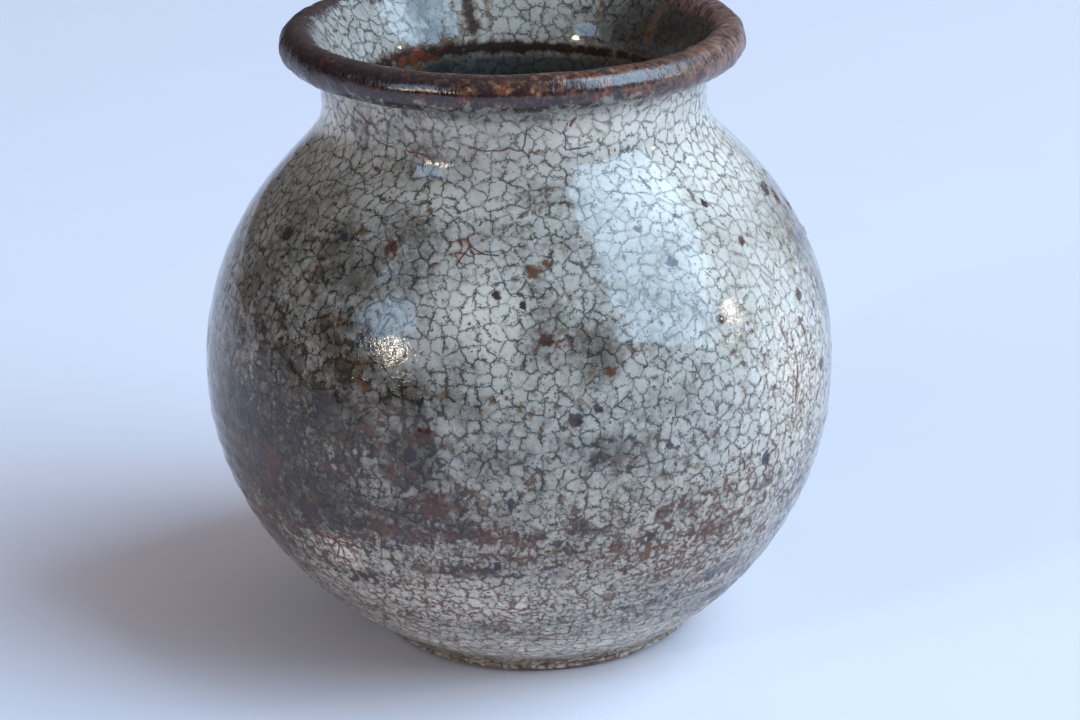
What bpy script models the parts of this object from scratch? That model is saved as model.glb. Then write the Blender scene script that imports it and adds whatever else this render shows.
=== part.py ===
"""A small round stoneware jar with a waisted neck and a rolled lip.

The jar is turned about Z and stands on Z = 0. It is made of its clay parts (foot ring, thrown body,
neck collar and rolled lip) and of its three coats of glaze (outside, lip and lining).
Every outline is a list of (radius, height) points in metres, worked out from the sizes below.
"""

import math

import bpy
import numpy as np

# The finished outside, glaze included.
BELLY_RADIUS = 0.0500
BELLY_HALF_HEIGHT = 0.0484
BELLY_CENTRE_Z = 0.0438
FOOT_RADIUS = 0.0256
FOOT_HEIGHT = 0.0030
FOOT_UNDERCUT = 0.0004
SHOULDER_Z = 0.0750
NECK_RADIUS = 0.0300
NECK_Z = 0.0868
CREASE_RADIUS = 0.0316
CREASE_Z = 0.0936
LIP_RADIUS = 0.0332
LIP_Z = 0.0963
BEAD_RADIUS = 0.00285

# The finished inside.
THROAT_RADIUS = 0.0260
THROAT_Z = 0.0882
INNER_SHOULDER_Z = 0.0740
FLOOR_Z = 0.0082
FLOOR_BEND_Z = 0.0116

# Thicknesses, and the gap that parts keep where they meet.
OUTER_GLAZE = 0.0008
LINING_GLAZE = 0.0006
WALL = 0.0030
GAP = 0.0003
FOOT_RING_WIDTH = 0.0055
FOOT_CHAMFER = 0.0005
GLAZE_EDGE_Z = 0.0009
NECK_JOINT_Z = 0.0800
COLLAR_TOP_Z = 0.0957

# Stretches of the lip's bead, as directions in degrees, counted up from straight out.
LIP_GLAZE_FROM = -116.0
LIP_GLAZE_TO = 148.0
COLLAR_SEAT_FROM = 197.0
COLLAR_SEAT_TO = 220.0

TURN_STEPS = 32
BELLY_STEPS = 11
CURVE_STEPS = 4
BEAD_STEPS = 9
MERGE = 0.00001

OUTER_SKIN = OUTER_GLAZE + GAP
LINING_SKIN = LINING_GLAZE + GAP
WHOLE_WALL = OUTER_SKIN + WALL + LINING_SKIN
BEAD_CENTRE = np.array([LIP_RADIUS, LIP_Z])
BEAD_CLAY = BEAD_RADIUS - OUTER_SKIN

# Name, base colour, roughness.
CLAY = ("stoneware_clay", (0.27, 0.17, 0.11), 0.85)
CRACKLE = ("crackle_glaze", (0.46, 0.48, 0.46), 0.25)
LINING = ("lining_glaze", (0.38, 0.41, 0.41), 0.30)
IRON = ("iron_glaze", (0.11, 0.045, 0.025), 0.22)


def material(name, colour, roughness):
    """The named material, made the first time it is asked for."""
    found = bpy.data.materials.get(name)
    if found:
        return found
    made = bpy.data.materials.new(name)
    made.use_nodes = True
    shader = made.node_tree.nodes["Principled BSDF"]
    shader.inputs["Base Color"].default_value = (*colour, 1.0)
    shader.inputs["Roughness"].default_value = roughness
    shader.inputs["Metallic"].default_value = 0.0
    return made


def belly(radius, half_height, low, high, steps=BELLY_STEPS):
    """An elliptical belly's outline between two heights, from the bottom up."""
    first, last = (math.asin((z - BELLY_CENTRE_Z) / half_height) for z in (low, high))
    angles = np.linspace(first, last, steps + 1)
    heights = BELLY_CENTRE_Z + half_height * np.sin(angles)
    return np.column_stack([radius * np.cos(angles), heights])


def bezier(start, leave, arrive, end, steps=CURVE_STEPS):
    """A cubic curve from start to end. leave and arrive are its two handles, as points."""
    t = np.linspace(0, 1, steps + 1)[:, None]
    weights = ((1 - t) ** 3, 3 * t * (1 - t) ** 2, 3 * t**2 * (1 - t), t**3)
    return sum(w * np.array(p) for w, p in zip(weights, (start, leave, arrive, end)))


def along(point, direction, distance):
    """The point reached by going a distance from point."""
    direction = np.array(direction, float)
    return np.array(point) + direction / np.linalg.norm(direction) * distance


def on_bead(radius, degrees):
    """The point at a radius from the bead's centre, in a direction counted from straight out."""
    angle = math.radians(degrees)
    return BEAD_CENTRE + radius * np.array([math.cos(angle), math.sin(angle)])


def round_bead(radius, first, last, steps=BEAD_STEPS):
    """Part of a circle about the bead's centre, between two directions."""
    return np.array([on_bead(radius, degrees) for degrees in np.linspace(first, last, steps + 1)])


def joined(*lines):
    """Several outlines end to end, with the points that they share kept once."""
    points = [lines[0][0]]
    for line in lines:
        points += [p for p in line if np.linalg.norm(p - points[-1]) > MERGE]
    return np.array(points)


def shifted(line, distance):
    """The outline moved sideways, to the left of the way that it runs."""
    steps = np.diff(line, axis=0)
    steps /= np.linalg.norm(steps, axis=1)[:, None]
    before, after = np.vstack([steps[:1], steps]), np.vstack([steps, steps[-1:]])
    middle = (before + after) / 2
    left = np.column_stack([-middle[:, 1], middle[:, 0]])
    return line + distance * left / (middle**2).sum(axis=1)[:, None]


def above(line, low):
    """The stretch of a rising outline from a height up."""
    start = (np.interp(low, line[:, 1], line[:, 0]), low)
    return np.vstack([start, line[line[:, 1] > low + MERGE]])


def below(line, high):
    """The stretch of a rising outline up to a height."""
    end = (np.interp(high, line[:, 1], line[:, 0]), high)
    return np.vstack([line[line[:, 1] < high - MERGE], end])


def outside_line():
    """The glazed outside, from the foot up to the crease under the lip."""
    foot = np.array(
        [
            (FOOT_RADIUS, GLAZE_EDGE_Z),
            (FOOT_RADIUS - FOOT_UNDERCUT, FOOT_HEIGHT - FOOT_UNDERCUT),
        ]
    )
    globe = belly(BELLY_RADIUS, BELLY_HALF_HEIGHT, FOOT_HEIGHT + FOOT_UNDERCUT, SHOULDER_Z)
    neck = (NECK_RADIUS, NECK_Z)
    shoulder = bezier(
        globe[-1],
        along(globe[-1], globe[-1] - globe[-2], 0.0060),
        along(neck, (0, -1), 0.0045),
        neck,
    )
    crease = (CREASE_RADIUS, CREASE_Z)
    flare = bezier(neck, along(neck, (0, 1), 0.0030), along(crease, (-1, -1.4), 0.0018), crease)
    return joined(foot, globe, shoulder, flare)


def inside_line():
    """The glazed inside, from the middle of the floor up to the edge of the lip's glaze."""
    radius, half_height = BELLY_RADIUS - WHOLE_WALL, BELLY_HALF_HEIGHT - WHOLE_WALL
    globe = belly(radius, half_height, FLOOR_BEND_Z, INNER_SHOULDER_Z)
    slope = globe[1] - globe[0]
    bend = globe[0] - slope * (FLOOR_BEND_Z - FLOOR_Z) / slope[1]
    edge = bend - (np.linalg.norm(globe[0] - bend), 0)
    corner = bezier(edge, (edge + 2 * bend) / 3, (globe[0] + 2 * bend) / 3, globe[0])
    throat = (THROAT_RADIUS, THROAT_Z)
    shoulder = bezier(
        globe[-1],
        along(globe[-1], globe[-1] - globe[-2], 0.0045),
        along(throat, (0, -1), 0.0050),
        throat,
    )
    lip_edge = on_bead(BEAD_RADIUS, LIP_GLAZE_TO)
    down = on_bead(1.0, LIP_GLAZE_TO + 90) - BEAD_CENTRE
    top = along(lip_edge, down, GAP)
    funnel = bezier(throat, along(throat, (0, 1), 0.0035), along(top, down, 0.0035), top)
    return joined(np.array([(0.0, FLOOR_Z)]), corner, globe, shoulder, funnel)


def turned(name, outline, look, closed=True):
    """One turned piece. Its outline runs down the outer side and back up the inner side."""
    mesh = bpy.data.meshes.new(name)
    points = [(radius, 0.0, height) for radius, height in outline]
    edges = [(i, i + 1) for i in range(len(points) - 1)]
    if closed:
        edges.append((len(points) - 1, 0))
    mesh.from_pydata(points, edges, [])
    piece = bpy.data.objects.new(name, mesh)
    JAR.objects.link(piece)
    piece.data.materials.append(material(*look))
    screw = piece.modifiers.new("turn", "SCREW")
    screw.axis = "Z"
    screw.steps = TURN_STEPS
    screw.render_steps = TURN_STEPS
    screw.use_merge_vertices = True
    screw.merge_threshold = MERGE
    screw.use_smooth_shade = True
    return piece


def coat(name, outline, look, thickness):
    """A coat of glaze: a turned surface that grows inwards to its thickness."""
    piece = turned(name, outline, look, closed=False)
    solidify = piece.modifiers.new("thickness", "SOLIDIFY")
    solidify.thickness = thickness
    solidify.offset = -1.0
    solidify.use_even_offset = True
    return piece


def make_foot_ring():
    outer = FOOT_RADIUS - FOOT_UNDERCUT - OUTER_SKIN
    inner = outer - FOOT_RING_WIDTH
    chamfer = FOOT_CHAMFER
    outline = [
        (inner, FOOT_HEIGHT),
        (outer, FOOT_HEIGHT),
        (outer, chamfer),
        (outer - chamfer, 0.0),
        (inner + chamfer, 0.0),
        (inner, chamfer),
    ]
    return turned("foot_ring", outline, CLAY)


def make_body(outside, inside):
    """The thrown globe with its floor, up to the joint with the neck."""
    underside = FOOT_HEIGHT + GAP
    top = NECK_JOINT_Z - GAP / 2
    outer = above(below(shifted(outside, OUTER_SKIN), top), underside)
    inner = below(shifted(inside, -LINING_SKIN), top)
    outline = np.vstack([inner, outer[::-1], (0.0, underside)])
    return turned("thrown_body", outline, CLAY, closed=False)


def make_neck(outside, inside):
    """The collar above the joint. Its top is hollowed to take the lip's bead."""
    bottom = NECK_JOINT_Z + GAP / 2
    outer = above(shifted(outside, OUTER_SKIN), bottom)
    inner = below(above(shifted(inside, -LINING_SKIN), bottom), COLLAR_TOP_Z)
    seat = round_bead(BEAD_CLAY + GAP, COLLAR_SEAT_FROM, COLLAR_SEAT_TO, steps=3)
    outline = np.vstack([seat, outer[::-1], inner])
    return turned("neck_collar", outline, CLAY)


def make_lip():
    bead = round_bead(BEAD_CLAY, 180, -180, steps=12)[:-1]
    return turned("rolled_lip", bead, CLAY)


def make_glazes(outside, inside):
    coat("outer_glaze", outside[::-1], CRACKLE, OUTER_GLAZE)
    coat("lining_glaze", inside, LINING, LINING_GLAZE)
    around = round_bead(BEAD_RADIUS, LIP_GLAZE_TO, LIP_GLAZE_FROM)
    coat("lip_glaze", around, IRON, OUTER_GLAZE)


def clear_scene():
    for old in list(bpy.data.objects):
        bpy.data.objects.remove(old)


clear_scene()
JAR = bpy.data.collections.new("stoneware_jar")
bpy.context.scene.collection.children.link(JAR)
OUTSIDE, INSIDE = outside_line(), inside_line()
make_foot_ring()
make_body(OUTSIDE, INSIDE)
make_neck(OUTSIDE, INSIDE)
make_lip()
make_glazes(OUTSIDE, INSIDE)
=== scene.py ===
"""The looks of a small round stoneware jar: its glaze, relief, stage, lights and camera.

The glazed skin is one turned outline. It starts in the middle of the floor inside, climbs the lining,
goes over the lip and comes down the outside to the foot. It is cut into the lining, the lip's glaze and the
outer glaze. An outline is a list of (radius, height) points in metres. Directions round the jar start at the
front (-Y) and run towards +X. "here" is how far along the skin a point lies, and "turn" is its direction.
"""

import functools
import itertools
import math
from collections import namedtuple

import bpy
import numpy as np
from mathutils import Matrix, Quaternion, Vector


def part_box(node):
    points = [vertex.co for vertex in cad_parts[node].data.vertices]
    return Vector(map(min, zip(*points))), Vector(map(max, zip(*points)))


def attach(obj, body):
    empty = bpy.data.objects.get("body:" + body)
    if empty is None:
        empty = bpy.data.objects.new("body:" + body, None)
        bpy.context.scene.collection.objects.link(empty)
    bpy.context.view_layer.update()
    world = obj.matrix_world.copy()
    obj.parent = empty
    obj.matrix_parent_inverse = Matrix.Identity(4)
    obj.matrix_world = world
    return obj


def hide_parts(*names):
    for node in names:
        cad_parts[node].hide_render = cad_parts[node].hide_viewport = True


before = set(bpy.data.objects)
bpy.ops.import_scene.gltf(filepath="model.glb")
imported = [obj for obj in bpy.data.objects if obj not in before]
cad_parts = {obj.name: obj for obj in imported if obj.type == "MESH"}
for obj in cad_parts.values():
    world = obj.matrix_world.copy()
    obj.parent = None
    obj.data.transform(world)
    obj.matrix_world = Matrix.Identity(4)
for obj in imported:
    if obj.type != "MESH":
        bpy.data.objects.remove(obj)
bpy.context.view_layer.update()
MM = 0.001

# Corners of the CAD model's pieces.
GLAZE_LOW, GLAZE_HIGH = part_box("outer_glaze")
LIP_LOW, LIP_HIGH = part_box("lip_glaze")
LINING_LOW, LINING_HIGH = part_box("lining_glaze")
_, FOOT_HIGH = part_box("foot_ring")

# How much the CAD's facets cut off the belly's radius, and how far the glaze lies outside the foot ring.
FACET_LOSS = 0.1 * MM
FOOT_COVER = 1.5 * MM
LINING_THICKNESS = 0.6 * MM
GLAZE_THICKNESS = 0.7 * MM

# The lip's bead, the globe, and points of the outlines, most of them as shares of the globe's radius.
BEAD = (LIP_HIGH.z - LIP_LOW.z) / 2
BEAD_CENTRE = np.array([LIP_HIGH.x - BEAD, LIP_HIGH.z - BEAD])
BELLY = GLAZE_HIGH.x + FACET_LOSS
BELLY_HALF = 0.968 * BELLY
BELLY_Z = 0.876 * BELLY
NECK = np.array([0.600 * BELLY, 1.736 * BELLY])
CREASE = np.array([0.632 * BELLY, 1.872 * BELLY])
SHOULDER_Z = 1.50 * BELLY
FOOT = FOOT_HIGH.x + FOOT_COVER
FOOT_EDGE_Z = GLAZE_LOW.z
FOOT_TOP = np.array([FOOT - 0.3 * MM, 2.2 * MM])
GLOBE_LOW_Z = 3.4 * MM
THROAT = np.array([0.520 * BELLY, 1.764 * BELLY])
INNER_BELLY = LINING_HIGH.x - LINING_THICKNESS
INNER_HALF = INNER_BELLY - 1.6 * MM
INNER_SHOULDER_Z = 1.48 * BELLY
FLOOR_Z = LINING_LOW.z + LINING_THICKNESS
FLOOR_BEND_Z = FLOOR_Z + 3.4 * MM

# Where the lip's glaze starts and ends round the bead, in degrees from straight out.
BEAD_IN = 148.0
BEAD_OUT = -116.0

# The spacing of each mesh's rings, and the number of points in a ring.
LINING_SPACING, LINING_STEPS = 0.75 * MM, 300
LIP_SPACING, LIP_STEPS = 0.2 * MM, 720
SKIN_SPACING, SKIN_STEPS = 0.52 * MM, 360
FOOT_STEPS = 240
# A coat's hidden back has one ring for this many of its face.
BACK_EVERY = 12


# ------ outline


def ellipse(radius, half, low, high, steps):
    """A belly's outline between two heights, from the bottom up."""
    first, last = (math.asin((z - BELLY_Z) / half) for z in (low, high))
    angles = np.linspace(first, last, steps)
    return np.column_stack([radius * np.cos(angles), BELLY_Z + half * np.sin(angles)])


def bezier(start, leave, arrive, end, steps=40):
    """A cubic curve from start to end, with its two handles given as points."""
    t = np.linspace(0, 1, steps)[:, None]
    weights = ((1 - t) ** 3, 3 * t * (1 - t) ** 2, 3 * t**2 * (1 - t), t**3)
    return sum(w * np.asarray(p) for w, p in zip(weights, (start, leave, arrive, end)))


def along(point, direction, distance):
    """The point reached by going a distance from point."""
    direction = np.asarray(direction, float)
    return np.asarray(point) + direction / np.linalg.norm(direction) * distance


def on_bead(degrees):
    """Points round the lip's bead, for directions in degrees from straight out."""
    angles = np.radians(degrees)
    return BEAD_CENTRE + BEAD * np.stack([np.cos(angles), np.sin(angles)], axis=-1)


def outside_line():
    """The outside, from the edge of the glaze at the foot up to the crease under the lip."""
    globe = ellipse(BELLY, BELLY_HALF, GLOBE_LOW_Z, SHOULDER_Z, 200)
    foot = bezier((FOOT, FOOT_EDGE_Z), (FOOT, 1.6 * MM), (FOOT_TOP[0], 1.8 * MM), FOOT_TOP, 8)
    arrive = along(globe[0], globe[0] - globe[1], MM)
    flank = bezier(FOOT_TOP, along(FOOT_TOP, (0.3, 1), 0.8 * MM), arrive, globe[0], 8)
    leave = along(globe[-1], globe[-1] - globe[-2], 6.0 * MM)
    shoulder = bezier(globe[-1], leave, along(NECK, (0, -1), 4.5 * MM), NECK)
    flare = bezier(NECK, along(NECK, (0, 1), 3.0 * MM), along(CREASE, (-1, -1.4), 1.8 * MM), CREASE)
    tuck = np.linspace(CREASE, on_bead(BEAD_OUT), 6)
    return np.vstack([foot, flank[1:], globe[1:], shoulder[1:], flare[1:], tuck[1:]])


def inside_line():
    """The inside, from the middle of the floor up to where the lip's glaze starts."""
    globe = ellipse(INNER_BELLY, INNER_HALF, FLOOR_BEND_Z, INNER_SHOULDER_Z, 120)
    slope = globe[1] - globe[0]
    bend = globe[0] - slope * (FLOOR_BEND_Z - FLOOR_Z) / slope[1]
    edge = bend - (np.linalg.norm(globe[0] - bend), 0)
    corner = bezier(edge, (edge + 2 * bend) / 3, (globe[0] + 2 * bend) / 3, globe[0])
    leave = along(globe[-1], globe[-1] - globe[-2], 4.5 * MM)
    shoulder = bezier(globe[-1], leave, along(THROAT, (0, -1), 5.0 * MM), THROAT)
    top = on_bead(BEAD_IN)
    down = on_bead(BEAD_IN + 90) - BEAD_CENTRE
    funnel = bezier(THROAT, along(THROAT, (0, 1), 3.5 * MM), along(top, down, 3.5 * MM), top)
    floor = np.linspace((0.0, FLOOR_Z), edge, 30)
    return np.vstack([floor, corner[1:], globe[1:], shoulder[1:], funnel[1:]])


def lengths(line):
    """How far along the line each of its points is."""
    return np.concatenate([[0.0], np.cumsum(np.linalg.norm(np.diff(line, axis=0), axis=1))])


def resampled(line, spacing):
    """The same line with evenly spaced points."""
    here = lengths(line)
    even = np.linspace(0, here[-1], max(2, round(here[-1] / spacing) + 1))
    return np.column_stack([np.interp(even, here, line[:, k]) for k in (0, 1)])


LINING_LINE = resampled(inside_line(), LINING_SPACING)
LIP_LINE = resampled(on_bead(np.linspace(BEAD_IN, BEAD_OUT, 120)), LIP_SPACING)
OUTER_LINE = resampled(outside_line()[::-1], SKIN_SPACING)
SKIN = np.vstack([LINING_LINE, LIP_LINE[1:], OUTER_LINE[1:]])
SKIN_ALONG = lengths(SKIN)
LIP_START = len(LINING_LINE) - 1
OUTER_START = LIP_START + len(LIP_LINE) - 1
CREST_ALONG = SKIN_ALONG[LIP_START + np.argmax(LIP_LINE[:, 1])]
CREASE_ALONG = SKIN_ALONG[OUTER_START]
THROAT_ALONG = SKIN_ALONG[np.argmin(abs(SKIN[:LIP_START, 1] - THROAT[1]))]
# The last ring of the lip's glaze lies on the crease, so what ends there goes this much further.
JUST_PAST = 0.01 * MM


def skin_normals():
    """Which way the glazed side faces at each point of the skin."""
    ways = np.gradient(SKIN, SKIN_ALONG, axis=0)
    normals = np.column_stack([-ways[:, 1], ways[:, 0]])
    return normals / np.linalg.norm(normals, axis=1)[:, None]


SKIN_NORMALS = skin_normals()


def along_outside(height):
    """How far along the skin the outside reaches a height, given in millimetres."""
    heights, places = SKIN[OUTER_START:, 1], SKIN_ALONG[OUTER_START:]
    return np.interp(height * MM, heights[::-1], places[::-1])


# ------ relief and stains


def lumps(points, size, seed):
    """Smooth noise from -1 to 1 at each point, with lumps about a size across. It repeats after 32 lumps."""
    count = 32
    values = np.random.default_rng(seed).uniform(-1, 1, (count, count, count))
    place = points / size
    low = np.floor(place).astype(int)
    part = place - low
    part = part * part * (3 - 2 * part)
    total = np.zeros(len(points))
    for corner in itertools.product((0, 1), repeat=3):
        share = np.prod(np.where(corner, part, 1 - part), axis=1)
        index = (low + corner) % count
        total += share * values[index[:, 0], index[:, 1], index[:, 2]]
    return total


def smooth(value, low, high):
    """0 up to low, 1 from high, and a soft step between them."""
    t = np.clip((value - low) / (high - low), 0, 1)
    return t * t * (3 - 2 * t)


def hump(value, middle, width):
    """1 at the middle, and less on both sides of it."""
    return np.exp(-(((value - middle) / width) ** 2))


# Patches on the outside: direction in degrees, height, half width and half height in mm, strength.
# Grey stains. The two broad patches at -58 degrees are partly grey stain and partly painted shade on the
# left side, away from the light.
GREY_PATCHES = [
    (-58, 62, 22, 24, 0.7), (-34, 62, 8, 6, 1), (-31, 57, 7, 5, 1), (-20, 36, 8, 4, 0.9),
    (-10, 27, 8, 2, 0.6), (-35, 23, 8, 3, 0.6), (-58, 40, 24, 17, 1), (-34, 50, 13, 8, 1),
    (-48, 54, 12, 9, 0.85), (-20, 46, 8, 9, 1), (-39, 71, 14, 11, 0.85), (-22, 70, 6, 7, 0.7),
    (-26, 77, 8, 5, 0.75), (-20, 53, 7, 7, 1), (-36, 87, 24, 7, 0.75), (-12, 87, 14, 5, 0.6),
    (3, 87, 8, 4, 0.4), (-9, 51, 6, 8, 0.5), (-10, 59, 5, 4, 0.5), (3, 66, 7, 12, 0.5),
    (0, 47, 16, 9, 0.42), (-14, 37, 12, 6, 0.75), (30, 64, 8, 11, 0.42), (28, 76, 10, 6, 0.45),
    (-40, 36, 15, 9, 1), (8, 80, 8, 4, 0.7), (14, 61, 7, 6, 0.75), (26, 53, 9, 5, 0.5),
    (16, 46, 9, 5, 0.75), (44, 50, 12, 8, 0.5), (16, 44, 14, 5, 0.45), (54, 69, 8, 7, 0.35),
    (60, 30, 9, 8, 0.5), (6, 31, 22, 6, 0.4),
]
PURPLE_PATCHES = [
    (-52, 39, 8, 5, 0.85), (-60, 24, 9, 9, 1), (-40, 33, 8, 3, 0.7), (-15, 38.5, 4.2, 2.8, 0.95),
    (-22, 32.5, 7.5, 2.4, 1), (-8, 33, 6, 1.8, 0.9), (0, 33.5, 4, 1.5, 0.7), (13, 33.5, 6, 2, 0.75),
    (26, 35, 5, 2.2, 0.6), (38, 30, 7, 2.8, 0.8), (47, 34, 5, 3, 0.65), (-8, 26.3, 10, 1, 0.9),
    (-30, 43, 5, 3, 0.75), (42, 20, 10, 2.2, 0.8), (50, 12, 9, 3.5, 0.9), (25, 17, 8, 1.6, 0.6),
    (-36, 22, 6, 2.5, 0.6), (-46, 47, 8, 3, 0.55),
]
# Paler glaze. The broad patches on the right side and at the neck's right paint the light that falls there,
# and the wide patch low at the front paints light where the belly turns under, over pale glaze.
PALE_PATCHES = [
    (-5, 66, 5, 7, 0.5), (-18, 80, 12, 4, 0.4), (-8, 67, 6, 5, 0.6), (-2, 7, 38, 7, 1),
    (-36, 27, 4, 3, 1), (-10, 20, 18, 5, 0.6), (58, 56, 15, 22, 0.75), (62, 80, 20, 12, 1),
    (43, 68, 6, 8, 0.6), (36, 89, 18, 4, 1),
]
# Where the glaze is worn rough and glitters.
ROUGH_PATCHES = [
    (-25, 60.6, 8, 3.2, 1), (-12, 60, 3, 3, 0.9), (-22, 84.5, 7, 2.5, 0.7), (45, 60.5, 7, 5, 1),
    (60, 54, 16, 16, 0.75), (-24, 42, 9, 6, 0.7),
]
# Where the net of cracks is finer and crowded.
FINE_PATCHES = [
    (-50, 42, 24, 16, 0.9), (60, 46, 14, 14, 0.55), (30, 22, 26, 8, 0.5),
]
# Where the cracks are faint and the glaze is beige.
FAINT_PATCHES = [
    (66, 64, 24, 24, 1), (34, 70, 10, 14, 0.45), (20, 90, 22, 5, 0.6), (2, 6, 40, 5, 0.8),
    (-62, 50, 8, 30, 0.3),
]
RUST_PATCHES = [
    (62, 50, 12, 13, 0.72), (-37, 27, 5, 4, 1.2), (30, 27, 24, 9, 1), (-10, 19, 30, 8, 0.8),
    (-4, 33, 12, 3, 1), (-12, 75, 3, 2.5, 0.9), (-28, 55, 3, 3, 0.7), (-22, 49, 6, 8, 0.65),
    (-28, 88, 6, 3, 0.7), (8, 87, 5, 3, 0.6), (6, 63, 3, 3, 0.8), (34, 72, 3, 3, 0.6),
    (45, 38, 14, 6, 0.8),
]
# Spots on the outside: direction in degrees, height and radius in mm, how rusty (0 is dark, 1 is rust).
SPOTS = [
    (-59, 72, 1.5, 0), (-41, 74, 0.9, 0.3), (-28, 73.7, 1.4, 0.7), (-4, 68.8, 0.8, 0.5),
    (3.3, 71.7, 1.2, 0.6), (6, 72.5, 0.8, 0.9), (5, 62.9, 1.1, 0.6), (1, 67.5, 0.6, 0.5),
    (-36, 52, 1.2, 0.5), (-16.4, 49, 1.6, 0.6), (-19, 46, 1.4, 0.3), (13.4, 52.9, 0.9, 0.4),
    (9.3, 51.6, 1.3, 0.45), (16, 58, 1, 0.8), (48, 38.8, 1.4, 0), (33.4, 70.8, 1.1, 0.4),
    (50, 76.3, 0.8, 0.5), (54, 70.6, 0.9, 0.6), (28, 75.5, 0.7, 0.6), (-45, 56, 1, 0.4),
    (26, 46, 0.8, 0.1), (-3, 56, 0.5, 0), (40, 62, 0.8, 0.6), (66, 60, 1.1, 0.8), (70, 48, 1.3, 0.9),
    (-2, 39, 1, 0.1), (-23, 30, 0.8, 0), (-5, 28, 0.8, 0.1), (23, 31, 0.9, 0.1),
    (-30, 62, 0.7, 0.5),
]
# Brown runs down the inside of the funnel: direction in degrees, half width in mm, strength.
RUNS = [
    (194, 1.3, 1.05), (188, 0.6, 0.6), (201, 0.6, 0.55), (150, 0.6, 0.5), (126, 0.9, 0.55),
    (262, 0.8, 0.6),
]
# Places where the lip's glaze has run thin, in the same way.
THIN_PLACES = [
    (-10.4, 0.9, 0.55), (8, 9, 0.42), (24, 2.4, 0.35), (-64, 1.2, 0.4), (150, 2, 0.6),
    (235, 1.5, 0.6),
]
# Single long cracks: direction and height in mm of one end and of the other, half width in mm, how rusty.
CRACKS = [
    (-12.6, 87.1, 2.1, 87.1, 0.13, 0.9), (2.1, 87.1, 4.3, 85.9, 0.13, 0.3),
    (2.1, 87.1, 3.6, 90, 0.12, 0.1), (-31.9, 86, -24.7, 85.4, 0.15, 0.5),
    (-43.7, 86.4, -37.1, 85.8, 0.13, 0.4), (6.5, 90.7, 10.7, 89.3, 0.12, 0.4),
    (13.6, 89.6, 14.8, 86.7, 0.13, 0), (14.8, 86.8, 21.9, 86.5, 0.1, 0.1),
    (-52, 90.6, -46, 88.6, 0.22, 1), (-9.8, 75, -12.5, 72.4, 0.16, 1),
    (-9.8, 75, -10.6, 76, 0.13, 1), (-9.8, 75, -7.4, 74.1, 0.16, 0.6),
    (-7.4, 74.1, -3.7, 73.7, 0.14, 0.1), (-45, 29.8, -31.5, 28.4, 0.17, 0.8),
    (-35.3, 28.9, -37.4, 25.5, 0.16, 0.8), (-41.9, 29.5, -41.7, 26.3, 0.15, 1),
    (35, 81.6, 36.2, 79.8, 0.16, 0.4), (16, 90.2, 17.5, 91.4, 0.25, 1),
    (59, 50.4, 57.2, 45.8, 0.35, 1), (69, 45, 66.5, 43, 0.28, 1),
]


# The side that the camera doesn't see, in degrees, and how far up or down a mark moves there, in mm.
FAR_SIDE = (78.0, 282.0)
FAR_MOVE = 4


def more_of(items, seed):
    """The same kind of marks, twice over, scattered on the far side of the jar."""
    draw = np.random.default_rng(seed)
    turns = np.sort(draw.uniform(*FAR_SIDE, 2 * len(items)))
    moves = draw.uniform(-FAR_MOVE, FAR_MOVE, len(turns))
    scattered = []
    for turn, move, (_, height, *rest) in zip(turns, moves, itertools.cycle(items)):
        scattered.append((turn, height + move, *rest))
    return scattered


def angle_from(turn, degrees):
    """The angle from a direction in degrees to each turn, the short way round."""
    return (turn - math.radians(degrees) + math.pi) % (2 * math.pi) - math.pi


def offsets(base, turn, here, mark_turn, mark_height):
    """How far each point is from a mark, across and along the outside, in millimetres."""
    across = angle_from(turn, mark_turn) * np.hypot(base[:, 0], base[:, 1])
    return across / MM, (here - along_outside(mark_height)) / MM


def patches(base, turn, here, marks):
    """How much each point lies in one of the patches."""
    total = np.zeros(len(base))
    for mark_turn, height, wide, high, strength in marks:
        across, down = offsets(base, turn, here, mark_turn, height)
        total = np.maximum(total, strength * np.exp(-((across / wide) ** 2) - (down / high) ** 2))
    return total


def spots(base, turn, here, rusty):
    """How far inside a spot each point is: 1 in the middle of one, 0 at its edge, and less outside."""
    total = np.full(len(base), -1.0)
    for mark_turn, height, radius, share in SPOTS + more_of(SPOTS, 5):
        across, down = offsets(base, turn, here, mark_turn, height)
        inside = 1 - np.hypot(across, down) / radius
        weight = share if rusty else 1 - share
        total = np.maximum(total, np.maximum(inside, -1) if weight >= 0.5 else -1)
    return total


def iron_cover(base, here):
    """How much of the lip's iron glaze lies at each point: all round the bead, thinning down the funnel."""
    ragged = 1.1 * MM * lumps(base, 3.0 * MM, 21) + 1.2 * MM * lumps(base, 9.0 * MM, 22)
    inner = smooth(here - CREST_ALONG + ragged, -4.6 * MM, -1.2 * MM)
    return inner * (here <= CREASE_ALONG + JUST_PAST)


def stripes(base, turn, items):
    """How much each point lies in one of some upright stripes."""
    total = np.zeros(len(base))
    radius = np.hypot(base[:, 0], base[:, 1])
    for stripe_turn, wide, strength in items:
        across = angle_from(turn, stripe_turn) * radius
        total = np.maximum(total, strength * hump(across, 0, wide * MM))
    return total


# Where the throat's brown is thick and rusty, and where the funnel has a grey stripe.
LEFT_THROAT = 3.80
INNER_STRIPE = 3.63


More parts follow.
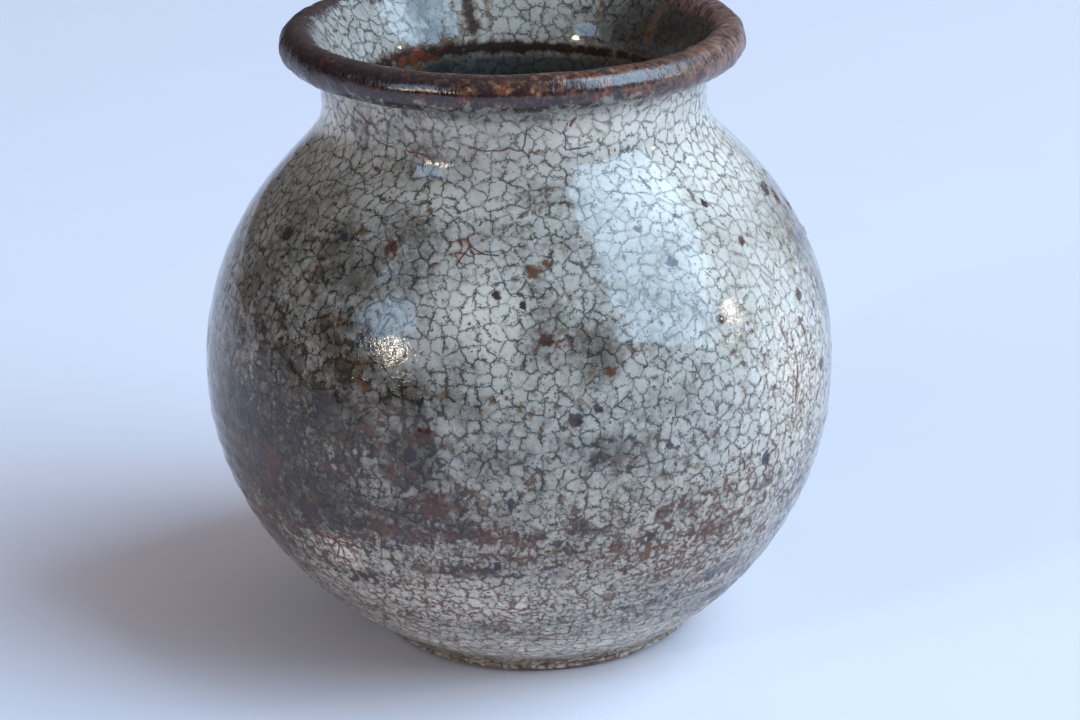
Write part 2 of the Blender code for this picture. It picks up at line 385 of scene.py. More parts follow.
def inner_marks(base, turn, here):
    """The shares that belong to the funnel and the throat: brown glaze that has run down, and painted shade
    in the throat, below it and on the funnel's right wall.
    """
    left_throat = hump(turn, LEFT_THROAT, 0.20)
    thick = 1.0 + 0.35 * lumps(base, 9 * MM, 8) + 0.9 * left_throat
    throat = 1.1 * hump(here - THROAT_ALONG, 0.4 * MM, thick * MM)
    funnel = smooth(here, THROAT_ALONG + MM, THROAT_ALONG + 4 * MM)
    throat = np.maximum(throat, stripes(base, turn, RUNS) * funnel) * (here < CREST_ALONG)
    # Painted shade in the throat and below it, where the inside of the jar goes dark.
    painted_shade = smooth(THROAT_ALONG - here, -0.2 * MM, 1.6 * MM)
    # The lip's painted shadow on the funnel's right wall, the side that faces away from the light.
    shaded = 0.85 * smooth(np.sin(turn), 0.30, 0.85) * smooth(CREST_ALONG - here, 0.5 * MM, 7 * MM)
    # The lining is painted greyer towards its right: painted shade on the wall that faces away from the
    # light, over a little real grey.
    grey = 0.20 + 0.70 * smooth(np.sin(turn), 0.15, 0.95)
    return {
        "throat": throat,
        "painted_shade": np.maximum(painted_shade, shaded * (here < CREST_ALONG)),
        "rust": left_throat * hump(here, THROAT_ALONG, 2.5 * MM),
        "grey": np.maximum(grey, 0.95 * hump(turn, INNER_STRIPE, 0.16)),
    }


def grey_marks(base, turn, here):
    """How grey the outside is: broad clouds, the grey patches, and a band of painted shade under the lip."""
    clouds = 0.30 + 0.35 * lumps(base, 20 * MM, 1) + 0.2 * lumps(base, 9 * MM, 2)
    placed = patches(base, turn, here, GREY_PATCHES + more_of(GREY_PATCHES, 1))
    # A band of painted shade in the crease under the lip's overhang.
    painted_shade_under_lip = 1 - smooth(here - CREASE_ALONG, 2.2 * MM, 5.2 * MM)
    painted_shade_under_lip *= 0.75 + 0.35 * lumps(base, 5 * MM, 23)
    return np.maximum(np.maximum(0.6 * clouds, placed), painted_shade_under_lip)


def marks(base, turn, here):
    """The stains at each point, and the painted shade and light, as named shares that are mostly from 0 to
    1.
    """

    def placed(items, seed):
        return patches(base, turn, here, items + more_of(items, seed)) * outside

    height = base[:, 2]
    outside = here > CREASE_ALONG
    low_zone = (1 - smooth(height, 28 * MM, 54 * MM)) * outside
    inner = inner_marks(base, turn, here)
    # Pale glaze, with painted light on the right side and low at the front.
    pale = np.maximum(placed(PALE_PATCHES, 3), 0.35 * smooth(height, 78 * MM, 86 * MM) * outside)
    foot_edge = (1 - smooth(height, 0.7 * MM, 2.0 * MM)) * (0.40 + 0.9 * lumps(base, 7 * MM, 24))
    rust = np.where(outside, np.maximum(placed(RUST_PATCHES, 4), foot_edge), inner["rust"])
    far_ends = 0.6 * (np.cos(turn) < -0.6) * (0.5 + 0.5 * lumps(base, 12 * MM, 9))
    return {
        "grey": np.clip(np.where(outside, grey_marks(base, turn, here), inner["grey"]), 0, 1),
        "purple": np.clip(placed(PURPLE_PATCHES, 2), 0, 1),
        "pale": np.clip(pale, 0, 1),
        "rust": np.clip(np.maximum(rust, 0.42 * low_zone), 0, 1.2),
        "fine": np.clip(np.maximum(0.08 + 0.52 * low_zone - 0.3 * pale, placed(FINE_PATCHES, 10)), 0, 1),
        "rough": np.clip(placed(ROUGH_PATCHES, 6), 0, 1),
        "faint": np.clip(placed(FAINT_PATCHES, 7), 0, 1),
        "painted_shade": inner["painted_shade"],
        # The right and left sides. The materials use them to paint the lip lighter on its right, where the
        # light falls, and darker on its left, and to colour the painted shade inside.
        "right": smooth(np.sin(turn), 0.45, 0.95),
        "left": smooth(-np.sin(turn), 0.15, 0.60),
        "low": (1 - smooth(height, 10 * MM, 26 * MM)) * outside,
        "iron": iron_cover(base, here),
        "ends": np.clip(np.maximum(abs(np.sin(turn)) ** 3, far_ends), 0, 1),
        "throat": inner["throat"],
        "thin": stripes(base, turn, THIN_PLACES),
        "dark_spot": spots(base, turn, here, False),
        "rust_spot": spots(base, turn, here, True),
    }


def relief(base, turn, here, found):
    """How far the surface stands out at each point, worked out in millimetres."""
    low_zone = 1 - smooth(base[:, 2], 22 * MM, 58 * MM)
    rugged = 0.25 + 0.75 * np.maximum(low_zone, found["grey"])
    swell = 0.20 * lumps(base, 19 * MM, 31) + 0.06 * lumps(base, 7 * MM, 32)
    wave = here / (3.6 * MM) + turn / (2 * math.pi) + 0.5 * lumps(base, 16 * MM, 34)
    rings = (0.006 + 0.075 * low_zone) * np.sin(2 * math.pi * wave)
    rough = rugged * (0.060 * lumps(base, 2.6 * MM, 33) + 0.080 * lumps(base, 1.5 * MM, 35))
    dots = 0.18 * smooth(found["rust_spot"], -0.2, 0.6) - 0.22 * smooth(found["dark_spot"], -0.2, 0.5)
    belly_part = swell + rings + rough + dots
    streak_place = np.column_stack([turn * 33.0 / 1.1, here / (2.2 * MM), np.zeros(len(base))])
    streaks = lumps(streak_place, 1.0, 36) * (0.2 + 0.8 * found["ends"])
    lip_part = 0.16 * lumps(base, 6 * MM, 37) + 0.06 * lumps(base, 2.2 * MM, 38) + 0.13 * streaks
    on_lip = smooth(here, THROAT_ALONG, CREST_ALONG) * (here <= CREASE_ALONG + JUST_PAST)
    return MM * (belly_part * (1 - on_lip) + lip_part * on_lip)


FOOT_DRIFT = 2.0 * MM


def drift(points):
    """The jar's hand-made lean: its foot sits a little to the side, and its mouth isn't quite round."""
    moved = points.copy()
    foot = np.clip(1 - points[:, 2] / BELLY_Z, 0, 1) ** 2
    moved[:, 0] += FOOT_DRIFT * foot
    turn = np.arctan2(points[:, 0], -points[:, 1])
    oval = 1 + 0.004 * np.cos(2 * (turn - 0.7)) + 0.002 * np.cos(3 * turn + 1.0)
    moved[:, :2] *= oval[:, None]
    return moved


# ------ meshes


def ring_faces(first, second, steps):
    """The faces between two rings of points, each given as its first index and its number of points."""
    (a, count_a), (b, count_b) = first, second
    turns = [(j, (j + 1) % steps) for j in range(steps)]
    if count_a == 1:
        return [(a, b + j, b + k) for j, k in turns]
    if count_b == 1:
        return [(a + j, b, a + k) for j, k in turns]
    return [(a + j, b + j, b + k, a + k) for j, k in turns]


# A ring of a turned mesh. depth is how far it lies behind the face, along its place on the skin.
Ring = namedtuple("Ring", "radius height facing depth along")
# A ring with a smaller radius than this is a single point.
ON_AXIS = 1e-7


def turned_mesh(name, rings, steps, raised=True):
    """A closed mesh through the rings, with its stains and its painted shade and light stored on it. raised
    gives it the relief.
    """
    turns = np.arange(steps) * 2 * math.pi / steps
    base, facing, depth, here, turn, spans = [], [], [], [], [], []
    for ring in rings:
        count = 1 if ring.radius < ON_AXIS else steps
        sine, cosine = np.sin(turns[:count]), np.cos(turns[:count])
        spans.append((len(depth), count))
        radius, (out, up) = ring.radius, ring.facing
        base += list(np.column_stack([radius * sine, -radius * cosine, np.full(count, ring.height)]))
        facing += list(np.column_stack([out * sine, -out * cosine, np.full(count, up)]))
        depth += [ring.depth] * count
        here += [ring.along] * count
        turn += list(turns[:count])
    base, facing, depth, here, turn = (np.array(v) for v in (base, facing, depth, here, turn))
    found = marks(base, turn, here)
    out = relief(base, turn, here, found) if raised else np.zeros(len(base))
    points = drift(base + facing * (out - depth)[:, None])
    pairs = list(zip(spans, spans[1:]))
    if spans[0][1] > 1:
        pairs.append((spans[-1], spans[0]))
    faces = [face for pair in pairs for face in ring_faces(*pair, steps)]
    mesh = bpy.data.meshes.new(name)
    mesh.from_pydata(points.tolist(), [], faces)
    store(mesh, "along", here)
    for key, values in found.items():
        store(mesh, key, values)
    mesh.shade_smooth()
    mesh.set_sharp_from_angle(angle=math.radians(50))
    return mesh


def store(mesh, name, values):
    """Keeps a value for each point of the mesh, for its material to read."""
    attribute = mesh.attributes.new(name, "FLOAT", "POINT")
    attribute.data.foreach_set("value", np.asarray(values, np.float32))


def add_object(name, data):
    """A new object in the scene."""
    made = bpy.data.objects.new(name, data)
    bpy.context.scene.collection.objects.link(made)
    return made


def add_piece(name, mesh, node):
    """A piece of the jar that stands for a CAD node."""
    piece = add_object(name, mesh)
    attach(piece, "root")
    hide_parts(node)
    return piece


def coat_rings(first, last):
    """The rings of a coat of glaze over one stretch of the skin: its face, then its hidden, coarser back."""
    face = range(first, last + 1)
    back = [i for i in face if (last - i) % BACK_EVERY == 0 or i == first][::-1]
    rings = []
    for depth, places in ((0.0, face), (GLAZE_THICKNESS, back)):
        for i in places:
            radius, height = SKIN[i]
            facing = SKIN_NORMALS[i] if radius > 0 else np.array([0.0, 1.0])
            rings.append(Ring(radius, height, facing, depth, SKIN_ALONG[i]))
    return rings


def add_coats():
    """The three coats of glaze, by their slots."""
    lining = turned_mesh("crackled_lining", coat_rings(0, LIP_START), LINING_STEPS)
    lip = turned_mesh("iron_lip", coat_rings(LIP_START, OUTER_START), LIP_STEPS)
    outer = turned_mesh("crackled_skin", coat_rings(OUTER_START, len(SKIN) - 1), SKIN_STEPS)
    return {
        "lining_glaze": add_piece("crackled_lining", lining, "lining_glaze"),
        "iron_glaze": add_piece("iron_lip", lip, "lip_glaze"),
        "crackle_glaze": add_piece("crackled_skin", outer, "outer_glaze"),
    }


def add_foot():
    """The bare clay ring that the jar stands on, with rounded edges."""
    width, edge = 5.5 * MM, 0.7 * MM
    outer, inner, top = FOOT_HIGH.x, FOOT_HIGH.x - width, FOOT_HIGH.z
    arc = np.radians(np.linspace(0, 90, 5))
    outer_edge = [(outer - edge + edge * math.cos(a), edge - edge * math.sin(a)) for a in arc]
    inner_edge = [(inner + edge - edge * math.sin(a), edge - edge * math.cos(a)) for a in arc]
    outline = [(inner, top), (outer, top), *outer_edge, *inner_edge]
    rings = [Ring(radius, height, np.zeros(2), 0.0, 0.0) for radius, height in outline]
    mesh = turned_mesh("bare_foot", rings, FOOT_STEPS, raised=False)
    return add_piece("bare_foot", mesh, "foot_ring")


# ------ colours


# Linear red, green and blue. A pair runs from its first colour to its second as the share mixing it rises.
# FRESH runs from the glaze's usual white to its palest. The pale patches also use the palest as painted
# light.
FRESH = ((0.405, 0.375, 0.335), (0.76, 0.70, 0.62))
# GREY is the grey stains' colour, and also that of the painted shade under the lip, on the left side and on
# the lining's right.
GREY = (0.105, 0.090, 0.073)
BEIGE = (0.36, 0.27, 0.19)
CAST = ((1.0, 0.99, 0.96), (1.02, 0.93, 0.84))
BRUSHED = (0.21, 0.185, 0.16)
BESIDE_CRACK = (0.14, 0.14, 0.13)
SOOT = (0.027, 0.023, 0.017)
SOOTY_CELLS = ((0.012, 0.010, 0.008), (0.100, 0.082, 0.062))
OLIVE = (0.115, 0.068, 0.030)
BLEED = ((0.080, 0.036, 0.022), (0.20, 0.080, 0.042))
CRACK = ((0.038, 0.049, 0.053), (0.040, 0.029, 0.021))
GREY_CRACK = (0.014, 0.011, 0.009)
FAINT_CRACK = (0.16, 0.11, 0.075)
RUSTY_CRACK = ((0.045, 0.016, 0.010), (0.15, 0.045, 0.018))
SPECK = (0.075, 0.030, 0.014)
PURPLE = ((0.034, 0.023, 0.025), (0.094, 0.034, 0.023))
RUST_SPOT = ((0.036, 0.014, 0.009), (0.105, 0.036, 0.015))
DARK_SPOT = (0.030, 0.026, 0.030)
LONG_DARK_CRACK = (0.030, 0.040, 0.045)
LONG_RUSTY_CRACK = (0.13, 0.020, 0.012)
# The colours of the painted shade inside, for the left and for the right of the funnel.
PAINTED_INNER_SHADE = ((0.031, 0.038, 0.041), (0.036, 0.031, 0.031))
THROAT_HALO = (0.18, 0.115, 0.060)
THROAT_BROWN = ((0.024, 0.014, 0.015), (0.15, 0.036, 0.014))
IRON = ((0.022, 0.009, 0.009), (0.17, 0.042, 0.014))
IRON_GLOW = (0.17, 0.10, 0.05)
IRON_PIT = (0.010, 0.007, 0.008)
# IRON_RIGHT is a lighter brown that paints the light on the lip's right side.
IRON_RIGHT = (0.17, 0.088, 0.038)
# The lip's sides: dull and dusty colours, dark on the left as painted shade, and light lavender on the right
# as a painted highlight.
IRON_DULL = ((0.034, 0.016, 0.018), (0.10, 0.060, 0.046))
IRON_DUST_AND_SHEEN = ((0.052, 0.034, 0.036), (0.34, 0.29, 0.33))
THIN_IRON = ((0.085, 0.080, 0.062), (0.24, 0.245, 0.20))
CLAY = ((0.16, 0.075, 0.04), (0.33, 0.17, 0.09))
CLAY_SPECK = (0.06, 0.035, 0.03)
PAPER = ((0.815, 0.787, 0.845), (0.835, 0.807, 0.865))
ROOM = ((0.036, 0.032, 0.032), (0.41, 0.381, 0.405))
BACKDROP = (0.66, 0.76, 0.93)
DAYLIGHT = (0.49, 0.74, 1.0)
SKYLIGHT = (0.40, 0.68, 1.0)
SUNLIGHT = (1.0, 0.84, 0.62)


# ------ material nodes


class Nodes:
    """Adds nodes to a material or a world. Each call returns the new node's output."""

    def __init__(self, owner, place="Object"):
        owner.use_nodes = True
        self.tree = owner.node_tree
        self.shader = self.tree.nodes.get("Principled BSDF") or self.tree.nodes["Background"]
        self.place = self.add("TexCoord", {}, place)

    def add(self, kind, inputs, output=0, **settings):
        node = self.tree.nodes.new("ShaderNode" + kind)
        for key, value in settings.items():
            setattr(node, key, value)
        for key, value in inputs.items():
            self.put(node.inputs[key], value)
        return node.outputs[output]

    def put(self, socket, value):
        if isinstance(value, bpy.types.NodeSocket):
            self.tree.links.new(value, socket)
        else:
            socket.default_value = (*value, 1.0) if socket.type == "RGBA" else value

    def math(self, operation, *values, clamp=False):
        return self.add("Math", dict(enumerate(values)), operation=operation, use_clamp=clamp)

    def fold(self, operation, values):
        """One operation over any number of values, from the first to the last."""
        return functools.reduce(lambda first, second: self.math(operation, first, second), values)

    def product(self, *values):
        return self.fold("MULTIPLY", values)

    def total(self, *values):
        return self.fold("ADD", values)

    def vector(self, operation, first, second, output=0):
        return self.add("VectorMath", {0: first, 1: second}, output, operation=operation)

    def scaled(self, vector, scale):
        return self.add("VectorMath", {0: vector, "Scale": scale}, operation="SCALE")

    def soft(self, value, low, high, start=0.0, end=1.0):
        """start up to low, end from high, and a soft step between them."""
        ends = {"From Min": low, "From Max": high, "To Min": start, "To Max": end}
        return self.add("MapRange", {"Value": value, **ends}, interpolation_type="SMOOTHSTEP")

    def noise(self, size, detail=2.0, roughness=0.5, where=None, output="Fac"):
        """Noise from 0 to 1, mostly 0.35 to 0.65, with lumps about a size in mm across."""
        values = {"Vector": where or self.place, "Scale": 1 / (size * MM)}
        return self.add("TexNoise", {**values, "Detail": detail, "Roughness": roughness}, output)

    def mix(self, share, first, second):
        """A colour between two."""
        return self.add("Mix", {0: share, 6: first, 7: second}, 2, data_type="RGBA")

    def blend(self, share, first, second):
        """A number between two."""
        return self.add("Mix", {0: share, 2: first, 3: second})

    def spread(self, noise, amount):
        """A noise, centred on 0 and multiplied."""
        return self.math("MULTIPLY_ADD", noise, amount, -0.5 * amount)

    def mark(self, name):
        """One of the shares that marks() stored on the mesh."""
        return self.add("Attribute", {}, "Fac", attribute_name=name)


# The crackle's cells: in the coarse net, in the fine one, and of the short spurs between its cracks.
CELL = 2.25 * MM
SMALL_CELL = 1.42 * MM
SPUR_CELL = 0.95 * MM
CELL_RANDOMNESS = 0.86
# The skin is unrolled in upright gores, laid this far apart in metres, so that the cells keep their size.
GORES = 6
GORE = math.radians(360 / GORES)
GORE_APART = 0.37
# A single crack that is rustier than this is drawn as a rusty one.
RUSTY = 0.4
IRON_IOR = 1.64
GLAZE_IOR = 1.47


def unrolled(turn, height):
    """Where a direction and a height on the outside lie when the skin is unrolled in one piece."""
    here = along_outside(height)
    return Vector((math.radians(turn) * np.interp(here, SKIN_ALONG, SKIN[:, 0]), here, 0))


class Glaze(Nodes):
    """The material of one coat: crackled grey-white glaze, stained, and iron brown near the lip."""

    def __init__(self, name):
        self.name = name
        self.material = bpy.data.materials.new(name)
        super().__init__(self.material)
        for key in "along low grey fine pale faint rust rough right left ends".split():
            setattr(self, key, self.mark(key))
        self.turn, self.radius = self.turn_and_radius()
        self.flat = self.flat_place()
        self.crowded = self.product(self.fine, self.grey)
        self.line, self.spur, self.near, self.tone = self.crackle()
        self.add_noises()
        self.add_shares()

    def turn_and_radius(self):
        """The direction round the jar, and the distance from its axis."""
        parts = self.tree.nodes.new("ShaderNodeSeparateXYZ")
        self.put(parts.inputs[0], self.place)
        x, y, _ = parts.outputs
        turn = self.math("ARCTAN2", x, self.math("MULTIPLY", y, -1.0))
        return turn, self.math("SQRT", self.total(self.product(x, x), self.product(y, y)))

    def flat_place(self):
        """Flat coordinates over the skin in metres, the same size everywhere, in gores with ragged edges."""
        ragged = self.spread(self.noise(7), 1.0)
        gore = self.math("ROUND", self.math("MULTIPLY_ADD", self.turn, 1 / GORE, ragged))
        within = self.math("SUBTRACT", self.turn, self.product(gore, GORE))
        which = self.math("WRAP", gore, 0.0, float(GORES))
        across = self.math("MULTIPLY_ADD", which, GORE_APART, self.product(within, self.radius))
        return self.add("CombineXYZ", {0: across, 1: self.along})

    def add_noises(self):
        """The noises that break up the stains, from the finest to the broadest, and the stretched ones."""
        self.grain = self.noise(0.5, 2.0, 0.6)
        self.mottle = self.noise(1.3, 4.0, 0.65)
        self.blotch = self.noise(2.8, 4.0, 0.65)
        self.smudge = self.noise(3.9, 5.0, 0.7)
        self.broad = self.noise(6.0, 3.0, 0.6)
        self.fleck = self.noise(0.8, 4.0, 0.66)
        self.patch = self.noise(3.2, 3.0, 0.6)
        self.cloud = self.noise(1.4, 4.0, 0.7)
        lengthwise = self.vector("MULTIPLY", self.flat, (0.13, 1.0, 1.0))
        self.brushed = self.noise(0.75, 3.0, 0.6, where=lengthwise)
        across = self.vector("MULTIPLY", self.flat, (1.0, 0.16, 1.0))
        self.streak = self.noise(0.45, 3.0, 0.65, where=across)

    def noisy(self, share, **amounts):
        """A share with some of those noises added, each centred on 0 and multiplied."""
        return self.total(share, *(self.spread(getattr(self, key), n) for key, n in amounts.items()))

    def add_shares(self):
        """How much of each stain there is, with painted shade in the grey and painted light in the pale:
        what the stored share says, broken up by noise.
        """
        share = self.total(self.noisy(self.grey, broad=1.2), self.product(self.pale, -0.75))
        self.grey_share = self.soft(self.noisy(share, mottle=1.3), 0.0, 1.0)
        less_pale = self.product(self.pale, -0.32)
        stain = self.total(self.product(self.grey, 0.64), self.product(self.fine, 0.42), less_pale)
        share = self.noisy(self.spread(self.blotch, 2.6), mottle=1.2, near=0.26)
        self.soot = self.soft(self.total(share, stain, self.product(self.crowded, 0.38)), 0.50, 0.90)
        share = self.noisy(self.spread(self.smudge, 3.4), mottle=2.2)
        share = self.total(share, self.product(stain, 0.45), self.product(self.fine, 0.22))
        self.olive = self.soft(share, 0.42, 0.80)
        self.rust_share = self.soft(self.noisy(self.rust, smudge=1.8, mottle=3.4), 0.50, 0.95)
        share = self.noisy(self.mark("purple"), blotch=2.2, mottle=1.4, grain=0.9)
        self.purple = self.soft(share, 0.40, 0.74)
        share = self.noisy(self.mark("iron"), streak=1.6, mottle=0.8)
        self.iron_share = self.soft(share, 0.25, 0.75)

    # Cracks.

    def wander(self, flat, size, amount):
        """Flat coordinates pushed about by noise, so that lines wander. size and amount are in mm."""
        push = self.noise(size, detail=1.0, output="Color")
        centred = self.vector("SUBTRACT", push, (0.5, 0.5, 0.5))
        values = {0: centred, 1: (amount * MM, amount * MM, 0), 2: flat}
        return self.add("VectorMath", values, operation="MULTIPLY_ADD")

    def cells(self, flat, size, output, **settings):
        """A flat net of cells of this size."""
        values = {"Vector": flat, "Scale": 1 / size, "Randomness": CELL_RANDOMNESS}
        return self.add("TexVoronoi", values, output, voronoi_dimensions="2D", **settings)

    def crack_distance(self, flat, size):
        """The distance to the nearest crack of a net with cells of this size."""
        return self.math("MULTIPLY", self.cells(flat, size, 0, feature="DISTANCE_TO_EDGE"), size)

    def crackle(self):
        """How much of each point is crack, how much is a spur, how near a crack is, and each cell's tone."""
        net = self.wander(self.wander(self.flat, 3.0, 1.6), 1.0, 0.80)
        net = self.wander(net, 0.45, 0.22)
        choice = self.total(self.fine, self.spread(self.noise(4.5, 3.0), 2.0))
        choice = self.soft(choice, 0.46, 0.54)
        distance = self.blend(choice, self.crack_distance(net, CELL), self.crack_distance(net, SMALL_CELL))
        tone = self.blend(choice, self.cells(net, CELL, "Color"), self.cells(net, SMALL_CELL, "Color"))
        width = self.soft(self.noise(2.6), 0.36, 0.62, 0.04 * MM, 0.14 * MM)
        width = self.product(width, self.soft(choice, 0.0, 1.0, 1.0, 0.68))
        width = self.product(width, self.soft(self.crowded, 0.1, 0.6, 1.0, 1.9))
        line = self.math("SUBTRACT", 1.0, self.soft(self.math("DIVIDE", distance, width), 0.2, 1.6))
        line = self.product(line, self.soft(self.noise(1.4), 0.38, 0.48, 0.10, 1.0))
        line = self.product(line, self.soft(self.noise(8.0, 2.0), 0.40, 0.56, 0.80, 1.0))
        line = self.product(line, self.soft(self.faint, 0.0, 1.0, 1.0, 0.34))
        near = self.math("SUBTRACT", 1.0, self.soft(distance, 0.0, 0.55 * MM))
        return line, self.spurs(near), near, tone

    def spurs(self, near):
        """Short side cracks that start at the net's own."""
        distance = self.crack_distance(self.wander(self.flat, 0.9, 0.8), SPUR_CELL)
        spur = self.math("SUBTRACT", 1.0, self.soft(distance, 0.03 * MM, 0.12 * MM))
        more = self.product(self.fine, 0.05), self.product(self.faint, -0.09)
        where = self.soft(self.total(self.noise(1.7), *more), 0.42, 0.53)
        return self.product(spur, where, self.soft(near, 0.01, 0.32))

    def distance_to_line(self, place, first, last):
        """How far a place is from the straight line between two points."""
        run = last - first
        start = self.vector("SUBTRACT", place, first)
        share = self.vector("DOT_PRODUCT", start, run / run.length_squared, "Value")
        share = self.math("ADD", share, 0.0, clamp=True)
        return self.vector("DISTANCE", start, self.scaled(run, share), "Value")

    def single_cracks(self):
        """The single long cracks, as dark ones and rusty ones."""
        around = self.add("CombineXYZ", {0: self.product(self.turn, self.radius), 1: self.along})
        place = self.wander(self.wander(around, 3.0, 1.3), 0.9, 0.28)
        dark, rusty = [], []
        for turn_a, height_a, turn_b, height_b, width, rust in CRACKS:
            distance = self.distance_to_line(place, unrolled(turn_a, height_a), unrolled(turn_b, height_b))
            kind = rusty if rust > RUSTY else dark
            kind.append(self.math("MULTIPLY", distance, 1 / (width * MM)))
        nearest = (self.fold("MINIMUM", distances) for distances in (dark, rusty))
        return [self.math("SUBTRACT", 1.0, self.soft(distance, 0.4, 1.5)) for distance in nearest]

    # Layers of colour, from the bottom up. Each takes the colour below it and returns the new one.

    def body(self):
        """The glaze itself: pale to grey, uneven from cell to cell, and darker beside the cracks."""
        # The grey share also paints shade under the lip, on the left side and on the lining's right; the
        # pale share also paints light on the right side and low at the front.
        body = self.mix(self.grey_share, self.mix(self.pale, *FRESH), GREY)
        body = self.mix(self.product(self.faint, self.soft(self.smudge, 0.44, 0.62), 0.45), body, BEIGE)
        body = self.vector("MULTIPLY", body, self.mix(self.soft(self.fine, 0.12, 0.55), *CAST))
        body = self.mix(self.product(self.low, self.soft(self.brushed, 0.44, 0.62), 0.44), body, BRUSHED)
        busy = self.total(0.10, self.product(self.fine, 0.46), self.product(self.low, 0.15))
        cell = self.math("MULTIPLY_ADD", self.spread(self.tone, 1.0), busy, 1.0)
        cell = self.math("MULTIPLY_ADD", self.spread(self.grain, 3.2), busy, cell)
        return self.mix(self.product(self.near, self.near, 0.40), self.scaled(body, cell), BESIDE_CRACK)

    def sooty(self, below):
        """Soot, which lies cell by cell where the net is crowded, and olive smudges."""
        cells = self.mix(self.soft(self.tone, 0.25, 0.75), *SOOTY_CELLS)
        tint = self.mix(self.soft(self.crowded, 0.1, 0.6), SOOT, cells)
        depth = self.soft(self.crowded, 0.1, 0.6, 0.88, 0.82)
        colour = self.mix(self.product(self.soot, depth), below, tint)
        depth = self.soft(self.crowded, 0.1, 0.6, 0.62, 0.42)
        return self.mix(self.product(self.olive, depth), colour, OLIVE)

    def rusty(self, below):
        """Rust that has bled out of the cracks."""
        bleed = self.product(self.rust_share, self.soft(self.near, 0.15, 1.0), 0.70)
        return self.mix(bleed, below, self.mix(self.soft(self.grain, 0.4, 0.6), *BLEED))

    def cracked(self, below):
        """The spurs and the net of cracks."""
        colour = self.mix(self.product(self.fine, 0.75), *CRACK)
        colour = self.mix(self.grey_share, colour, GREY_CRACK)
        colour = self.mix(self.product(self.faint, 0.7), colour, FAINT_CRACK)
        rusty = self.mix(self.soft(self.mottle, 0.45, 0.60), *RUSTY_CRACK)
        colour = self.mix(self.rust_share, colour, rusty)
        spurred = self.mix(self.product(self.spur, 0.78), below, colour)
        return self.mix(self.product(self.line, 0.92), spurred, colour)

    def specked(self, below):
        """Small brown specks."""
        more = self.product(self.fine, 0.07), self.product(self.rust_share, 0.05)
        share = self.soft(self.total(self.noise(0.8, 2.0), *more), 0.66, 0.72)
        return self.mix(self.product(share, 0.85), below, SPECK)

    def purpled(self, below):
        """Purple-brown patches, redder in places."""
        reddish = self.soft(self.noisy(self.smudge, grain=0.35), 0.42, 0.58)
        depth = self.total(self.soft(self.line, 0.0, 1.0, 0.78, 0.95), self.product(self.crowded, -0.22))
        return self.mix(self.product(self.purple, depth), below, self.mix(reddish, *PURPLE))

    def spotted(self, below):
        """The rusty and the dark spots, with ragged edges."""
        ragged = self.spread(self.noise(0.8, 3.0), 1.6)
        dark = self.soft(self.total(self.mark("dark_spot"), ragged), -0.05, 0.35)
        rusty = self.soft(self.total(self.mark("rust_spot"), ragged), -0.25, 0.35)
        tint = self.mix(self.soft(self.mottle, 0.42, 0.58), *RUST_SPOT)
        colour = self.mix(self.product(rusty, 0.92), below, tint)
        return self.mix(self.product(dark, 0.92), colour, DARK_SPOT)

    def long_cracked(self, below):
        """The single long cracks, which only the outside has."""
        if self.name != "crackle_glaze":
            return below
        dark, rusty = self.single_cracks()
        colour = self.mix(self.product(dark, 0.92), below, LONG_DARK_CRACK)
        return self.mix(self.product(rusty, 0.92), colour, LONG_RUSTY_CRACK)

    def inner(self, below):
        """The painted shade in the throat, below it and on the funnel's right wall, and the brown that has
        run down to it.
        """
        colour = self.mix(self.product(self.mark("painted_shade"), 0.80), below, self.mix(self.right, *PAINTED_INNER_SHADE))
        throat = self.noisy(self.mark("throat"), blotch=1.2, mottle=1.6)
        colour = self.mix(self.soft(throat, 0.15, 0.50, 0.0, 0.60), colour, THROAT_HALO)
        brown = self.mix(self.soft(self.noisy(self.rust, mottle=5.0), 0.45, 1.1), *THROAT_BROWN)
        return self.mix(self.product(self.soft(throat, 0.38, 0.90), 0.93), colour, brown)

    def lipped(self, below):
        """The lip's iron glaze: dark brown with rust flecks, streaked at its sides, thin at its lower edge,
        and painted lighter on its right and darker on its left, as painted light and shade.
        """
        patch, cloud = self.patch, self.cloud
        # Painted shade and light: the lip is darker on its left, with fewer rust flecks there, and redder on
        # its right, over the glaze's own glow.
        sides = self.product(self.left, -0.16), self.product(self.right, 0.12)
        glow = self.total(self.noisy(cloud, patch=1.1), *sides)
        colour = self.mix(self.soft(glow, 0.42, 0.70), *IRON)
        glowing = self.soft(self.fleck, 0.46, 0.76, 0.0, 0.70)
        glowing = self.product(glowing, self.soft(self.left, 0.0, 1.0, 1.0, 0.35))
        colour = self.mix(glowing, colour, IRON_GLOW)
        colour = self.mix(self.soft(self.fleck, 0.34, 0.48, 0.85, 0.0), colour, IRON_PIT)
        # A lighter brown over the right side: painted light where the light falls.
        colour = self.mix(self.product(self.right, self.soft(cloud, 0.40, 0.62), 0.6), colour, IRON_RIGHT)
        # Streaks at the sides: dusty glaze, with a light lavender painted highlight on the right and painted
        # shade on the left.
        dust_and_sheen_share = self.product(self.ends, self.soft(self.streak, 0.45, 0.62, 0.0, 0.76))
        dull, dust_and_sheen = self.mix(self.right, *IRON_DULL), self.mix(self.right, *IRON_DUST_AND_SHEEN)
        colour = self.mix(dust_and_sheen_share, colour, self.mix(self.soft(patch, 0.40, 0.58), dull, dust_and_sheen))
        thin = self.soft(self.along, CREASE_ALONG - 6.0 * MM, CREASE_ALONG - 3.4 * MM)
        thin = self.total(self.noisy(self.total(thin, self.mark("thin")), patch=3.4, cloud=3.4), -0.50)
        thin = self.product(self.soft(thin, 0.25, 0.85), 0.85)
        colour = self.mix(thin, colour, self.mix(self.soft(cloud, 0.42, 0.60), *THIN_IRON))
        return self.mix(self.iron_share, below, colour)

    # The surface.

